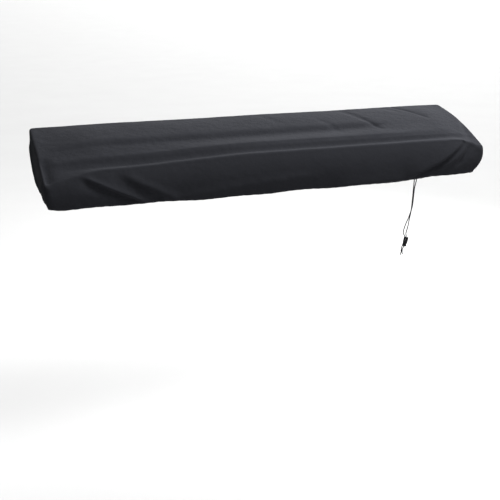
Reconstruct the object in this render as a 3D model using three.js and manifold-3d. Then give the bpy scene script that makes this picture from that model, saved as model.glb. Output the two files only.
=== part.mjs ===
// Fitted stretch-cloth dust cover for a digital piano, with its drawcord and spring cord lock.
// Millimetres. +X runs along the keyboard to the right, -Y faces the player, +Z is up.
// Heights in the tables are measured from the bottom edge of the cloth. The exported group is
// lowered so that its origin is under the middle of the top, where the instrument carries it.
import * as THREE from "three";
import { mergeVertices } from "three/addons/utils/BufferGeometryUtils.js";
import Module from "manifold-3d";

// Driving dimensions of the cloth
const LENGTH = 1370;
const DEPTH = 300;
const CLOTH = 2;
const CORNER_RADIUS = 14;
const EDGE_RADIUS = { front: 13, others: 7 };
const WALL_BULGE = 2.5;
const HEM_DRAW = { left: 6, right: 28, front: 4, back: 6 };
const HEM_RADIUS = 6;
const HEM_UNDER = 14;
const HEM_CORNER_RADIUS = 13;
const HEM_WAVE = { high: 2, short: 47, long: 121, shift: 1 };
const HEM_SAG = 5;
const HEM_STEP = { high: 4, from: 475, over: 60 };
const CASING_WIDTH = 13;
const CASING_SHOULDER = 2.6;
const CASING_THICK = 6;
// Share of a fold's run in which it fades out at each end
const FOLD_FADE = 0.2;

// Height of the cloth across the depth, back to front, over the two end blocks and the middle
const SECTIONS = [
  { y: 150, left: 177, middle: 177, right: 177 },
  { y: 100, left: 163, middle: 171, right: 165 },
  { y: 50, left: 148, middle: 161, right: 153 },
  { y: 0, left: 132, middle: 149, right: 139 },
  { y: -50, left: 114, middle: 134, right: 123 },
  { y: -92, left: 96, middle: 116, right: 107 },
  { y: -118, left: 84, middle: 113, right: 97 },
  { y: -150, left: 71, middle: 105, right: 83 },
];
// How far from each end the cloth rises from the end block to the middle's height
const END_RISE = { left: 190, right: 110 };
// The front of the middle falls a little towards the left, over a length and a depth
const FRONT_FALL = { high: 15, from: -60, over: 450, depth: 80 };
// The front wall leans back at its top, over a length in from each end. Down the wall the lean fades
// as a power, so the cloth curves from a slant under the edge to upright at the hem.
const FRONT_LEAN = 24;
const LEAN_FADE = 3;
const LEAN_RISE = { left: 170, right: 70 };
// In plan the left end is turned, its front further along, and the right end bows out
const END_TURN = 7.5;
const END_BOW = 5;
const END_BOW_MIDDLE = 0.7;
const END_REACH = 200;

// Long ridges and back wrinkles of the top, as [x, y] runs. A negative height is a trough. The two
// widths are those of the slopes to the left and right of the run.
const TOP_FOLDS = [
  { from: [-690, -14], to: [500, 0], bow: 0, high: -8, left: 18, right: 34 },
  { from: [-740, -60], to: [660, -67], bow: 0, high: 6, left: 22, right: 10 },
  { from: [-740, -66], to: [730, -81], bow: -2, high: 6, left: 12, right: 12 },
  { from: [-690, -93], to: [690, -98], bow: 0, high: -2, left: 10, right: 12 },
  { from: [298, 148], to: [392, -44], bow: 3, high: -4, left: 12, right: 11 },
  { from: [484, 150], to: [584, 12], bow: 3, high: -3, left: 11, right: 11 },
  { from: [195, 66], to: [258, -48], bow: 3, high: -3, left: 11, right: 11 },
  { from: [10, 142], to: [70, 45], bow: 3, high: -2.5, left: 11, right: 11 },
  { from: [-672, -20], to: [-664, -240], bow: 0, high: -7, left: 16, right: 28 },
];

// Folds of the four walls, as [distance along the wall, height] runs
const WALL_FOLDS = [
  { side: "front", from: [-592, 92], to: [-390, -1], bow: 0, high: 8, left: 12, right: 12 },
  { side: "front", from: [-594, 81], to: [-412, 0], bow: 0, high: -7, left: 12, right: 16 },
  { side: "front", from: [-480, 80], to: [-325, -1], bow: 0, high: 5, left: 14, right: 14 },
  { side: "front", from: [-505, 86], to: [-378, -1], bow: 0, high: -3, left: 14, right: 20 },
  { side: "front", from: [-380, -4], to: [150, 42], bow: 8, high: 4, left: 14, right: 26 },
  { side: "front", from: [150, 4], to: [480, 8], bow: 0, high: 6, left: 26, right: 10 },
  { side: "front", from: [715, 165], to: [400, 0], bow: 19, high: -9, left: 12, right: 12 },
  { side: "front", from: [711, 171], to: [396, 6], bow: 19, high: 14, left: 10, right: 32 },
  { side: "front", from: [693, 150], to: [580, 25], bow: 0, high: -8, left: 12, right: 12 },
  { side: "front", from: [682, 150], to: [505, 20], bow: 14, high: 7, left: 10, right: 16 },
  { side: "right", from: [-120, 82], to: [-30, 0], bow: -9, high: 5, left: 13, right: 13 },
  { side: "right", from: [132, 158], to: [40, 6], bow: 10, high: 5, left: 15, right: 15 },
  { side: "left", from: [-124, 78], to: [-50, 2], bow: -7, high: 4, left: 13, right: 13 },
  { side: "left", from: [128, 150], to: [50, 4], bow: 9, high: 5, left: 15, right: 15 },
  { side: "back", from: [646, 160], to: [430, 4], bow: 20, high: 7, left: 18, right: 18 },
  { side: "back", from: [640, 124], to: [490, 0], bow: 14, high: -5, left: 15, right: 15 },
  { side: "back", from: [-650, 160], to: [-450, 4], bow: -20, high: 7, left: 18, right: 18 },
  { side: "back", from: [-640, 118], to: [-500, 0], bow: -14, high: -5, left: 15, right: 15 },
  { side: "back", from: [260, 160], to: [150, 20], bow: 8, high: 3, left: 18, right: 18 },
];

// Grid steps: the ends and corners, where the folds gather, get closer steps than the middle, and the
// front strip of the top, where its ridges run, gets closer rows than the back
const GATHERED_LENGTH = 340;
const GATHERED_STEPS = 20;
const MIDDLE_STEPS = 12;
const ROW_DEPTHS = [-136, -122, -109, -96, -82, -66, -48, -30, -13, 16, 56, 98, 136];
const CORNER_STEPS = 3;
const EDGE_STEPS = 4;
const WALL_STEPS = 6;
const HEM_STEPS = 2;

// Drawcord: where it leaves the hem and, measured from there, the middle of its two strands, how
// far apart they are and which way the pair faces. The strands leave the hem, twist together, open,
// cross the cord lock and meet in a knot.
const CORD_EXIT = { x: 460, y: -119.5 };
const CORD_DIAMETER = 3;
const CORD_SIDES = 8;
const CORD_STEPS = 40;
const TAIL_STEPS = 4;
const CORD_ROUTE = [
  { at: [0, 0, 1.8], apart: 8, turn: 0 },
  { at: [-0.5, 0, -10], apart: 7.4, turn: 1 },
  { at: [-2, -0.2, -22], apart: 5.6, turn: 5 },
  { at: [-3.4, -0.4, -34], apart: 3.8, turn: 10 },
  { at: [-4.2, -0.6, -52], apart: 3.6, turn: 14 },
  { at: [-5, -0.8, -72], apart: 3.6, turn: 18 },
  { at: [-6.2, -1, -92], apart: 3.6, turn: 30 },
  { at: [-8.4, -1, -108], apart: 3.6, turn: 58 },
  { at: [-11.6, -1, -122], apart: 3.6, turn: 92 },
  { at: [-15, -0.8, -135], apart: 4.2, turn: 130 },
  { at: [-18.2, 0, -147.9], apart: 8, turn: 166 },
  { at: [-20.6, 2, -162.9], apart: 11, turn: 176 },
  { at: [-21.4, 5, -174], apart: 10.8, turn: 174 },
  { at: [-20.2, 9.8, -184.4], apart: 9, turn: 164 },
  { at: [-16.4, 14.2, -192], apart: 6.8, turn: 152 },
  { at: [-12.4, 16, -199.2], apart: 5, turn: 146 },
  { at: [-11.3, 13.9, -205.9], apart: 4.3, turn: 142.8 },
  { at: [-13.5, 9.5, -209], apart: 3.9, turn: 142.8 },
];
const CORD_LEAVES_LOCK = [
  { at: [-29.4, -11.2, -206.1], apart: 3.6, turn: 142.8 },
  { at: [-33.2, -14, -209.8], apart: 4.2, turn: 146 },
  { at: [-35.2, -14.2, -216], apart: 5.6, turn: 156 },
  { at: [-35.6, -11.8, -222.4], apart: 6, turn: 168 },
  { at: [-35.2, -8.6, -228], apart: 5.2, turn: 176 },
  { at: [-34.7, -6.4, -231.9], apart: 4.3, turn: 180 },
  { at: [-34.5, -5.3, -234.5], apart: 3.8, turn: 180 },
];
const KNOT = { at: [-34.8, -4.4, -239.5], across: 8.4, tall: 9, turns: 3, twist: 2.4, swell: 0.1 };
const KNOT_STEPS = { round: 18, tall: 12 };
const TAIL_ROUTES = {
  left: [
    [-36.6, -4.2, -244.3],
    [-37.4, -4, -247.3],
    [-38.6, -3.8, -251.7],
    [-39.1, -3.6, -256.3],
  ],
  right: [
    [-33, -4.4, -244.3],
    [-32.6, -4.6, -246.3],
    [-31.7, -5, -249.3],
    [-31.4, -5.2, -252.9],
  ],
};

// Cord lock, along its own axis from the closed end of the barrel to the button's cap
const LOCK_CROSSING = [-21.5, -1, -207.5];
const LOCK_AXIS = [-0.196, 0, -0.981];
const CORD_THROUGH_LOCK = [-0.6, -0.79, 0.12];
const PAIR_IN_LOCK = { apart: 3.6, turn: 142.8 };
const STRAIGHT_IN_LOCK = [-8, -4, 0, 4, 8];
const CORD_AT = 13.3;
const CORD_ROOM = 0.7;
const GAP = 0.3;
const BARREL_RADIUS = 7.4;
const BARREL_LENGTH = 22;
const BARREL_ROUNDING = 2.2;
const BARREL_FLOOR = 1.8;
const BORE_RADIUS = 5.6;
const BUTTON_TRAVEL = 4;
const STEM_RADIUS = 5.2;
const STEM_BRIDGE = 1.9;
const CAP_RADIUS = 6.8;
const CAP_LENGTH = 5.5;
const CAP_ROUNDING = 2;
const LIP_CHAMFER = 0.6;
const CAP_CHAMFER = 0.5;
const SLOT_WIDTH = 8;
const LOCK_SIDES = 24;
const ROUNDING_STEPS = 3;

const wasm = await Module();
wasm.setup();

const COLOURS = {
  cloth: { color: 0x2b2c31, roughness: 0.78, metalness: 0 },
  cord: { color: 0x17171a, roughness: 0.7, metalness: 0 },
  lock: { color: 0x121214, roughness: 0.42, metalness: 0 },
};
const material = (name) => new THREE.MeshStandardMaterial(COLOURS[name]);

const clamp01 = (t) => Math.min(1, Math.max(0, t));
const smooth = (t) => clamp01(t) ** 2 * (3 - 2 * clamp01(t));
const mix = (a, b, t) => a + (b - a) * t;

// The top of the cloth

// Height of one section column at a depth, by a cubic through the table's rows.
function sectionHeight(column, y) {
  const last = SECTIONS.length - 1;
  const passed = SECTIONS.filter((row) => row.y > y).length;
  const k = THREE.MathUtils.clamp(passed, 1, last) - 1;
  const slope = (i) => {
    const [a, b] = [SECTIONS[Math.max(0, i - 1)], SECTIONS[Math.min(last, i + 1)]];
    return (b[column] - a[column]) / (b.y - a.y);
  };
  const [a, b] = [SECTIONS[k], SECTIONS[k + 1]];
  const span = b.y - a.y;
  const t = clamp01((y - a.y) / span);
  const rise = (t * t * (3 - 2 * t)) * (b[column] - a[column]);
  const bend = t * (1 - t) * ((1 - t) * slope(k) - t * slope(k + 1)) * span;
  return a[column] + rise + bend;
}

// A share that grows over a length in from each end, and is 1 between.
const fromEnds = (x, left, right) =>
  smooth((x + LENGTH / 2) / left) * smooth((LENGTH / 2 - x) / right);

// Height of the smooth cloth over a plan point, before its folds.
function topHeight(x, y) {
  const end = sectionHeight(x < 0 ? "left" : "right", y);
  const { high, from, over, depth } = FRONT_FALL;
  const middle = sectionHeight("middle", y) - high * smooth((from - x) / over) * smooth(-y / depth);
  return mix(end, middle, fromEnds(x, END_RISE.left, END_RISE.right));
}

// Depth of a grid point once the front edge leans back over the middle. The back edge stays.
function leanBack(x, y) {
  const rim = DEPTH / 2 - CORNER_RADIUS;
  return y + (FRONT_LEAN * fromEnds(x, LEAN_RISE.left, LEAN_RISE.right) * (rim - y)) / (2 * rim);
}

// Moves a point of an end along the keyboard: the left end turns and the right end bows.
function shapeEnds(p) {
  const deep = p.y / (DEPTH / 2);
  const left = smooth((END_REACH - LENGTH / 2 - p.x) / END_REACH);
  const right = smooth((END_REACH - LENGTH / 2 + p.x) / END_REACH);
  p.x += END_BOW * right * (END_BOW_MIDDLE - deep ** 2) - END_TURN * left * deep;
}

// How far a fold lifts the cloth at a point: a soft ridge along a bowed run that fades at both ends.
function foldLift(fold, u, v) {
  const [du, dv] = [fold.to[0] - fold.from[0], fold.to[1] - fold.from[1]];
  const length = Math.hypot(du, dv);
  const [pu, pv] = [u - fold.from[0], v - fold.from[1]];
  const t = (pu * du + pv * dv) / length ** 2;
  if (t <= 0 || t >= 1) return 0;
  const away = (pv * du - pu * dv) / length - 4 * fold.bow * t * (1 - t);
  const wide = away > 0 ? fold.left : fold.right;
  const fade = smooth(t / FOLD_FADE) * smooth((1 - t) / FOLD_FADE);
  return fold.high * fade * Math.exp(-((away / wide) ** 2));
}

// Sum of the folds at a point of the cloth that faces along the normal.
function foldsAt(p, normal) {
  const flat = normal.z ** 2;
  const top = TOP_FOLDS.reduce((sum, fold) => sum + foldLift(fold, p.x, p.y), 0);
  const faces = {
    front: [-normal.y, p.x],
    back: [normal.y, p.x],
    left: [-normal.x, p.y],
    right: [normal.x, p.y],
  };
  const wall = WALL_FOLDS.reduce((sum, fold) => {
    const [facing, along] = faces[fold.side];
    return facing > 0 ? sum + facing ** 2 * foldLift(fold, along, p.z) : sum;
  }, 0);
  return top * flat + wall;
}

// The grid of the cloth: a rectangle of the top, and rings from its rim over the edge to the hem

// Distances along the keyboard at which the grid has its columns.
function lengthStations() {
  const half = LENGTH / 2 - CORNER_RADIUS;
  const inner = half - GATHERED_LENGTH;
  const at = [];
  for (let i = 0; i < GATHERED_STEPS; i++) at.push(mix(-half, -inner, i / GATHERED_STEPS));
  for (let i = 0; i < MIDDLE_STEPS; i++) at.push(mix(-inner, inner, i / MIDDLE_STEPS));
  for (let i = 0; i <= GATHERED_STEPS; i++) at.push(mix(inner, half, i / GATHERED_STEPS));
  return at;
}

// Places round the rim, anticlockwise from the front left: a foot on the rectangle and the way out.
function rimStations(xs, ys) {
  const [x1, y1] = [xs.at(-1), ys.at(-1)];
  const sides = [
    { angle: -90, feet: xs.map((x) => [x, -y1]) },
    { angle: 0, feet: ys.map((y) => [x1, y]) },
    { angle: 90, feet: xs.toReversed().map((x) => [x, y1]) },
    { angle: 180, feet: ys.toReversed().map((y) => [-x1, y]) },
  ];
  const stations = [];
  const add = (foot, angle) => {
    const a = THREE.MathUtils.degToRad(angle);
    stations.push({ foot, out: [Math.cos(a), Math.sin(a)] });
  };
  for (const { angle, feet } of sides) {
    for (const foot of feet) add(foot, angle);
    for (let i = 1; i < CORNER_STEPS; i++) add(feet.at(-1), angle + (90 * i) / CORNER_STEPS);
  }
  return stations;
}

// Plan point of a rim station at an inset from the widest outline, with a share of the front's lean
// and of the drawcord's pull. Below the top, corners keep a least radius.
function planPoint({ foot: [x, y], out }, { inset, lean, pull, least }) {
  const radius = Math.max(CORNER_RADIUS - inset, least);
  const half = [LENGTH / 2, DEPTH / 2];
  const draw = [x < 0 ? HEM_DRAW.left : HEM_DRAW.right, y < 0 ? HEM_DRAW.front : HEM_DRAW.back];
  return [x, mix(y, leanBack(x, y), lean)].map((f, i) => {
    const reach = half[i] - inset - pull * draw[i] - radius;
    return (f * reach) / (half[i] - CORNER_RADIUS) + out[i] * radius;
  });
}

// Level of the hem along the keyboard: it hangs lowest in the middle, waves a little and is drawn up
// to the right of the place where the cord leaves it.
function hemLevel(x) {
  const { high, short, long, shift } = HEM_WAVE;
  const wave = high * Math.sin(x / short) * Math.sin(x / long + shift);
  const step = HEM_STEP.high * smooth((x - HEM_STEP.from) / HEM_STEP.over);
  return wave + step - HEM_SAG * (1 - ((2 * x) / LENGTH) ** 2);
}

// Tilt from upright of the wall just under the edge, where the edge's rounding ends.
function wallTilt(station, front, radius) {
  const [x, y] = planPoint(station, { inset: radius, lean: 1, pull: 0, least: 0 });
  const tall = topHeight(x, y) - hemLevel(station.foot[0]) - HEM_RADIUS;
  const share = front * fromEnds(station.foot[0], LEAN_RISE.left, LEAN_RISE.right);
  return Math.atan2(LEAN_FADE * FRONT_LEAN * share, tall);
}

// One rim station's run from the top's rectangle to the hem's edge.
function skirtRun(station) {
  const run = [];
  const onTop = (inset, drop) => {
    const [x, y] = planPoint(station, { inset, lean: 1, pull: 0, least: 0 });
    run.push({ p: new THREE.Vector3(x, y, topHeight(x, y) - drop), thick: CLOTH });
  };
  const below = (inset, w, z, thick) => {
    const share = { inset, lean: (1 - w) ** LEAN_FADE, pull: w * w, least: HEM_CORNER_RADIUS };
    const [x, y] = planPoint(station, share);
    run.push({ p: new THREE.Vector3(x, y, z), thick });
  };
  const level = hemLevel(station.foot[0]);
  const front = Math.max(0, -station.out[1]);
  const radius = mix(EDGE_RADIUS.others, EDGE_RADIUS.front, front);
  const tilt = wallTilt(station, front, radius);
  onTop(CORNER_RADIUS, 0);
  for (let i = 0; i <= EDGE_STEPS; i++) {
    const a = ((Math.PI / 2 - tilt) * i) / EDGE_STEPS;
    onTop(radius * (1 - Math.sin(a)), radius * (1 - Math.cos(a)));
  }
  const upper = run.at(-1).p.z;
  for (let i = 1; i <= WALL_STEPS; i++) {
    const w = i / WALL_STEPS;
    const slant = radius * (1 - Math.cos(tilt)) * (1 - w) ** LEAN_FADE;
    const bulge = WALL_BULGE * Math.sin(Math.PI * w);
    below(slant - bulge, w, mix(upper, HEM_RADIUS + level, w), CLOTH);
  }
  for (let i = 1; i <= HEM_STEPS; i++) {
    const a = ((Math.PI / 2) * i) / HEM_STEPS;
    const [turn, rise] = [HEM_RADIUS * (1 - Math.cos(a)), HEM_RADIUS * (1 - Math.sin(a))];
    below(turn, 1, rise + level, CLOTH);
  }
  const under = HEM_RADIUS + HEM_UNDER;
  below(under, 1, level, CLOTH);
  below(under + CASING_SHOULDER, 1, level, CASING_THICK);
  below(under + CASING_WIDTH, 1, level, CASING_THICK);
  return run;
}

// The outside of the cloth as shared points and triangles, with the ring of points at the hem.
function clothSurface() {
  const [xs, ys] = [lengthStations(), ROW_DEPTHS];
  const points = [];
  const triangles = [];
  const quad = (a, b, c, d) => {
    if (a !== b) triangles.push([a, b, c]);
    if (c !== d) triangles.push([a, c, d]);
  };
  const top = ys.map((y) =>
    xs.map((x) => {
      const leaned = leanBack(x, y);
      return points.push({ p: new THREE.Vector3(x, leaned, topHeight(x, leaned)), thick: CLOTH }) - 1;
    }),
  );
  for (let j = 0; j + 1 < ys.length; j++)
    for (let i = 0; i + 1 < xs.length; i++)
      quad(top[j][i], top[j][i + 1], top[j + 1][i + 1], top[j + 1][i]);
  const column = (values, v) => values.findIndex((value) => Math.abs(value - v) < 1e-9);
  const runs = rimStations(xs, ys).map((station) => {
    const [x, y] = station.foot;
    const first = top[column(ys, y)][column(xs, x)];
    return [first, ...skirtRun(station).slice(1).map((place) => points.push(place) - 1)];
  });
  runs.forEach((run, i) => {
    const next = runs[(i + 1) % runs.length];
    for (let k = 0; k + 1 < run.length; k++) quad(run[k], run[k + 1], next[k + 1], next[k]);
  });
  return { points, triangles, hem: runs.map((run) => run.at(-1)) };
}

function normalsOf(places, triangles) {
  const geometry = new THREE.BufferGeometry().setFromPoints(places);
  geometry.setIndex(triangles.flat());
  geometry.computeVertexNormals();
  const normals = geometry.getAttribute("normal");
  return places.map((_, i) => new THREE.Vector3().fromBufferAttribute(normals, i));
}

// The cloth as one closed sheet: its folded outside, its inside, and the edge of the hem.
function clothGeometry() {
  const { points, triangles, hem } = clothSurface();
  const bare = points.map(({ p }) => p);
  bare.forEach(shapeEnds);
  const facing = normalsOf(bare, triangles);
  const outside = bare.map((p, i) => p.clone().addScaledVector(facing[i], foldsAt(p, facing[i])));
  const normals = normalsOf(outside, triangles);
  const inside = outside.map((p, i) => p.clone().addScaledVector(normals[i], -points[i].thick));
  const count = points.length;
  const inner = triangles.map(([a, b, c]) => [count + a, count + c, count + b]);
  const edge = hem.flatMap((a, i) => {
    const b = hem[(i + 1) % hem.length];
    return [
      [a, count + a, count + b],
      [a, count + b, b],
    ];
  });
  const geometry = new THREE.BufferGeometry().setFromPoints([...outside, ...inside]);
  return geometry.setIndex([...triangles, ...inner, ...edge].flat());
}

// Drawcord, knot and tails

const vector = (xyz) => new THREE.Vector3(...xyz);

// One strand's points: half the pair's distance to one side of the middle route.
function strandPoints(side) {
  const through = STRAIGHT_IN_LOCK.map((along) => ({
    at: LOCK_CROSSING.map((c, i) => c + along * CORD_THROUGH_LOCK[i]),
    ...PAIR_IN_LOCK,
  }));
  return [...CORD_ROUTE, ...through, ...CORD_LEAVES_LOCK].map(({ at, apart, turn }) => {
    const a = THREE.MathUtils.degToRad(turn);
    const reach = (side * apart) / 2;
    return new THREE.Vector3(at[0] + reach * Math.cos(a), at[1] + reach * Math.sin(a), at[2]);
  });
}

function cordGeometry(points, steps) {
  const section = new THREE.Shape();
  for (let i = 0; i < CORD_SIDES; i++) {
    const a = (2 * Math.PI * i) / CORD_SIDES;
    const [u, v] = [(CORD_DIAMETER / 2) * Math.cos(a), (CORD_DIAMETER / 2) * Math.sin(a)];
    if (i === 0) section.moveTo(u, v);
    else section.lineTo(u, v);
  }
  const extrudePath = new THREE.CatmullRomCurve3(points, false, "centripetal");
  return new THREE.ExtrudeGeometry(section, { steps, extrudePath, bevelEnabled: false });
}

// The knot is a small ball with three slanting turns of cord standing out of it.
function knotGeometry() {
  const geometry = new THREE.SphereGeometry(1, KNOT_STEPS.round, KNOT_STEPS.tall);
  const places = geometry.getAttribute("position");
  const p = new THREE.Vector3();
  for (let i = 0; i < places.count; i++) {
    p.fromBufferAttribute(places, i);
    const round = Math.atan2(p.z, p.x);
    const turn = Math.cos(KNOT.turns * round + KNOT.twist * p.y);
    const swell = 1 + KNOT.swell * (1 - p.y * p.y) * turn;
    places.setXYZ(
      i,
      (p.x * swell * KNOT.across) / 2,
      (p.z * swell * KNOT.across) / 2,
      (-p.y * KNOT.tall) / 2,
    );
  }
  return geometry;
}

// Cord lock: a barrel and its sprung button, each with a slot for the two strands

const bare = (geometry) => {
  const copy = geometry.clone();
  for (const name of ["normal", "uv"]) copy.deleteAttribute(name);
  return mergeVertices(copy, 1e-4);
};

function solidOf(geometry) {
  const merged = bare(geometry);
  const vertProperties = new Float32Array(merged.getAttribute("position").array);
  const triVerts = new Uint32Array(merged.index.array);
  return new wasm.Manifold(new wasm.Mesh({ numProp: 3, vertProperties, triVerts }));
}

function geometryOf(solid) {
  const mesh = solid.getMesh();
  const geometry = new THREE.BufferGeometry();
  geometry.setAttribute("position", new THREE.BufferAttribute(mesh.vertProperties, 3));
  return geometry.setIndex(new THREE.BufferAttribute(mesh.triVerts, 1));
}

// A turned piece: its half section is [radius, height] points from the axis round to the axis.
function turned(section) {
  const points = section.map(([r, z]) => new THREE.Vector2(r, z));
  return new THREE.LatheGeometry(points, LOCK_SIDES).rotateX(Math.PI / 2);
}

function roundedCorner(r, z, radius, fromAngle) {
  return Array.from({ length: ROUNDING_STEPS + 1 }, (_, i) => {
    const a = THREE.MathUtils.degToRad(fromAngle + (90 * i) / ROUNDING_STEPS);
    return [r + radius * Math.cos(a), z + radius * Math.sin(a)];
  });
}

// The slot for the strands, along X through a lock piece, between two heights on its axis.
function cordSlot(low, high) {
  const reach = 4 * BARREL_RADIUS;
  const slot = new THREE.BoxGeometry(reach, SLOT_WIDTH, high - low);
  return solidOf(slot.translate(0, 0, (low + high) / 2));
}

const cordLow = CORD_AT - CORD_DIAMETER / 2 - CORD_ROOM;
const cordHigh = CORD_AT + CORD_DIAMETER / 2 + CORD_ROOM;

function barrelGeometry() {
  const shell = turned([
    [0, 0],
    ...roundedCorner(BARREL_RADIUS - BARREL_ROUNDING, BARREL_ROUNDING, BARREL_ROUNDING, -90),
    [BARREL_RADIUS, BARREL_LENGTH - LIP_CHAMFER],
    [BARREL_RADIUS - LIP_CHAMFER, BARREL_LENGTH],
    [BORE_RADIUS, BARREL_LENGTH],
    [BORE_RADIUS, BARREL_FLOOR],
    [0, BARREL_FLOOR],
  ]);
  return geometryOf(solidOf(shell).subtract(cordSlot(cordLow - BUTTON_TRAVEL, cordHigh)));
}

function buttonGeometry() {
  const cap = BARREL_LENGTH + GAP + BUTTON_TRAVEL;
  const end = cap + CAP_LENGTH;
  const stem = turned([
    [0, cordLow - STEM_BRIDGE],
    [STEM_RADIUS, cordLow - STEM_BRIDGE],
    [STEM_RADIUS, cap],
    [CAP_RADIUS - CAP_CHAMFER, cap],
    [CAP_RADIUS, cap + CAP_CHAMFER],
    ...roundedCorner(CAP_RADIUS - CAP_ROUNDING, end - CAP_ROUNDING, CAP_ROUNDING, 0),
    [0, end],
  ]);
  return geometryOf(solidOf(stem).subtract(cordSlot(cordLow, cordHigh + BUTTON_TRAVEL)));
}

// The lock's own frame: Z along the barrel, X the way the strands pass, origin at the closed end.
function lockGroup() {
  const z = vector(LOCK_AXIS).normalize();
  const across = vector(CORD_THROUGH_LOCK);
  const x = across.addScaledVector(z, -across.dot(z)).normalize();
  const group = new THREE.Group();
  group.quaternion.setFromRotationMatrix(new THREE.Matrix4().makeBasis(x, z.clone().cross(x), z));
  group.position.copy(vector(LOCK_CROSSING).addScaledVector(z, -CORD_AT));
  group.add(piece("lock_barrel", barrelGeometry(), "lock"));
  group.add(piece("lock_button", buttonGeometry(), "lock"));
  return group;
}

function piece(name, geometry, finish) {
  const mesh = new THREE.Mesh(geometry, material(finish));
  mesh.name = name;
  return mesh;
}

// Everything in place, with the origin under the middle of the top

const underTop = topHeight(0, 0) + foldsAt(new THREE.Vector3(), new THREE.Vector3(0, 0, 1)) - CLOTH;

const knot = piece("cord_knot", knotGeometry(), "cord");
knot.position.copy(vector(KNOT.at));

const drawcord = new THREE.Group();
drawcord.position.set(CORD_EXIT.x, CORD_EXIT.y, hemLevel(CORD_EXIT.x));
drawcord.add(piece("cord_strand_a", cordGeometry(strandPoints(-1), CORD_STEPS), "cord"));
drawcord.add(piece("cord_strand_b", cordGeometry(strandPoints(1), CORD_STEPS), "cord"));
drawcord.add(piece("cord_tail_a", cordGeometry(TAIL_ROUTES.left.map(vector), TAIL_STEPS), "cord"));
drawcord.add(piece("cord_tail_b", cordGeometry(TAIL_ROUTES.right.map(vector), TAIL_STEPS), "cord"));
drawcord.add(knot, lockGroup());

const cover = new THREE.Group();
cover.add(piece("cover_cloth", clothGeometry(), "cloth"), drawcord);
cover.position.z = -underTop;

const part = new THREE.Group();
part.add(cover);
export default part;
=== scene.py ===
# %% Load the fixed frame
from collections import namedtuple
from math import pi, radians

import bpy
import numpy as np
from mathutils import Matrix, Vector


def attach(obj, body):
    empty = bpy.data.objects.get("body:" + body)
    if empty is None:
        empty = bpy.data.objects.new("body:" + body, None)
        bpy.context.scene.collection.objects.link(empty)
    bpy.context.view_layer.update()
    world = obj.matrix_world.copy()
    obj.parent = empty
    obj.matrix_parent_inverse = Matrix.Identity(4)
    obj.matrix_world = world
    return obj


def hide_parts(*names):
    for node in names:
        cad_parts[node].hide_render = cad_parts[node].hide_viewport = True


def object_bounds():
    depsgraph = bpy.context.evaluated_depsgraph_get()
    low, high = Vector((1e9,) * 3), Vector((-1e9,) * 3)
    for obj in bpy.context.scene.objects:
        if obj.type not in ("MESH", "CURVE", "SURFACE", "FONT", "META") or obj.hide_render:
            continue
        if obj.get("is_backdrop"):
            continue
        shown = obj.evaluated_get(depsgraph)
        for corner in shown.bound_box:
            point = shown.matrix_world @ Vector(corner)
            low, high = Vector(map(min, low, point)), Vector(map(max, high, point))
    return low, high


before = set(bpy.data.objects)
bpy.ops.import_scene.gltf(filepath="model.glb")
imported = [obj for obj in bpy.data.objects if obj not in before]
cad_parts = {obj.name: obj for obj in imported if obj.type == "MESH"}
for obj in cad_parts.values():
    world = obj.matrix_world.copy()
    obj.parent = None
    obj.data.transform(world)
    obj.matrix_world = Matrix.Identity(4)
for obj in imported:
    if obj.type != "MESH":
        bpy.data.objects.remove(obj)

CAD_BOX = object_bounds()
MM = 0.001

# %% [markdown]
# The object is a black stretch-cloth dust cover, long and shallow, with a top that slopes down to the
# front. It is one sheet with a turned-under hem, a drawcord that leaves the hem at the right of the
# front, and a sprung cord lock. The solids of the frame give its sizes. This lesson dresses them: each
# piece is a surface worked out with numpy as whole arrays, so that its shape can be read from its
# formula.
# Lengths below are millimetres: along and across from the middle of the cover, and up from the hem,
# as a maker would measure them. The frame's origin is higher, under the middle of the top, so each
# mesh is lowered by that much.

# %% Share a few helpers for surfaces
MOUNT_HEIGHT = 139.812


def smooth(t):
    """An S-curve: 0 before t = 0, 1 after t = 1, and 3t^2 - 2t^3 between."""
    t = np.clip(t, 0, 1)
    return t * t * (3 - 2 * t)


def mix(a, b, t):
    """The value a share t of the way from a to b."""
    return a + (b - a) * t


def unit(vectors):
    """Each vector of an array divided by its own length."""
    vectors = np.asarray(vectors, float)
    return vectors / np.linalg.norm(vectors, axis=-1, keepdims=True)


def ring_surface(rings, along, closed=False):
    """Points, faces and corner UVs of a skin over rings of points, shape (rings, sides, 3).

    A quad joins each point to its neighbour on the ring and to the next ring. An open skin gets a
    flat end face at each end. U is the share of a turn, and V the distance given by along.
    """
    count, sides = rings.shape[:2]
    spans = count if closed else count - 1
    ring, side = np.meshgrid(np.arange(spans), np.arange(sides), indexing="ij")
    corner_ring = np.stack([ring, ring, ring + 1, ring + 1], -1).reshape(-1, 4)
    corner_side = np.stack([side, side + 1, side + 1, side], -1).reshape(-1, 4)
    quads = (corner_ring % count) * sides + corner_side % sides
    lengths = np.append(along, along[-1] + (along[1] - along[0]))
    uv = np.stack([corner_side / sides, lengths[corner_ring]], -1).reshape(-1, 2)
    faces = [quads]
    if not closed:
        turn = np.arange(sides)
        faces += [turn[None, ::-1], (count - 1) * sides + turn[None]]
        uv = np.concatenate([uv, np.zeros((2 * sides, 2))])
    return rings.reshape(-1, 3), faces, uv


def join_surfaces(*surfaces):
    """Several surfaces as one, with the later ones' face numbers moved past the earlier points."""
    points, faces, uvs, used = [], [], [], 0
    for place, numbers, uv in surfaces:
        points.append(place)
        faces += [array + used for array in numbers]
        uvs.append(uv)
        used += len(place)
    return np.concatenate(points), faces, np.concatenate(uvs)


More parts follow.
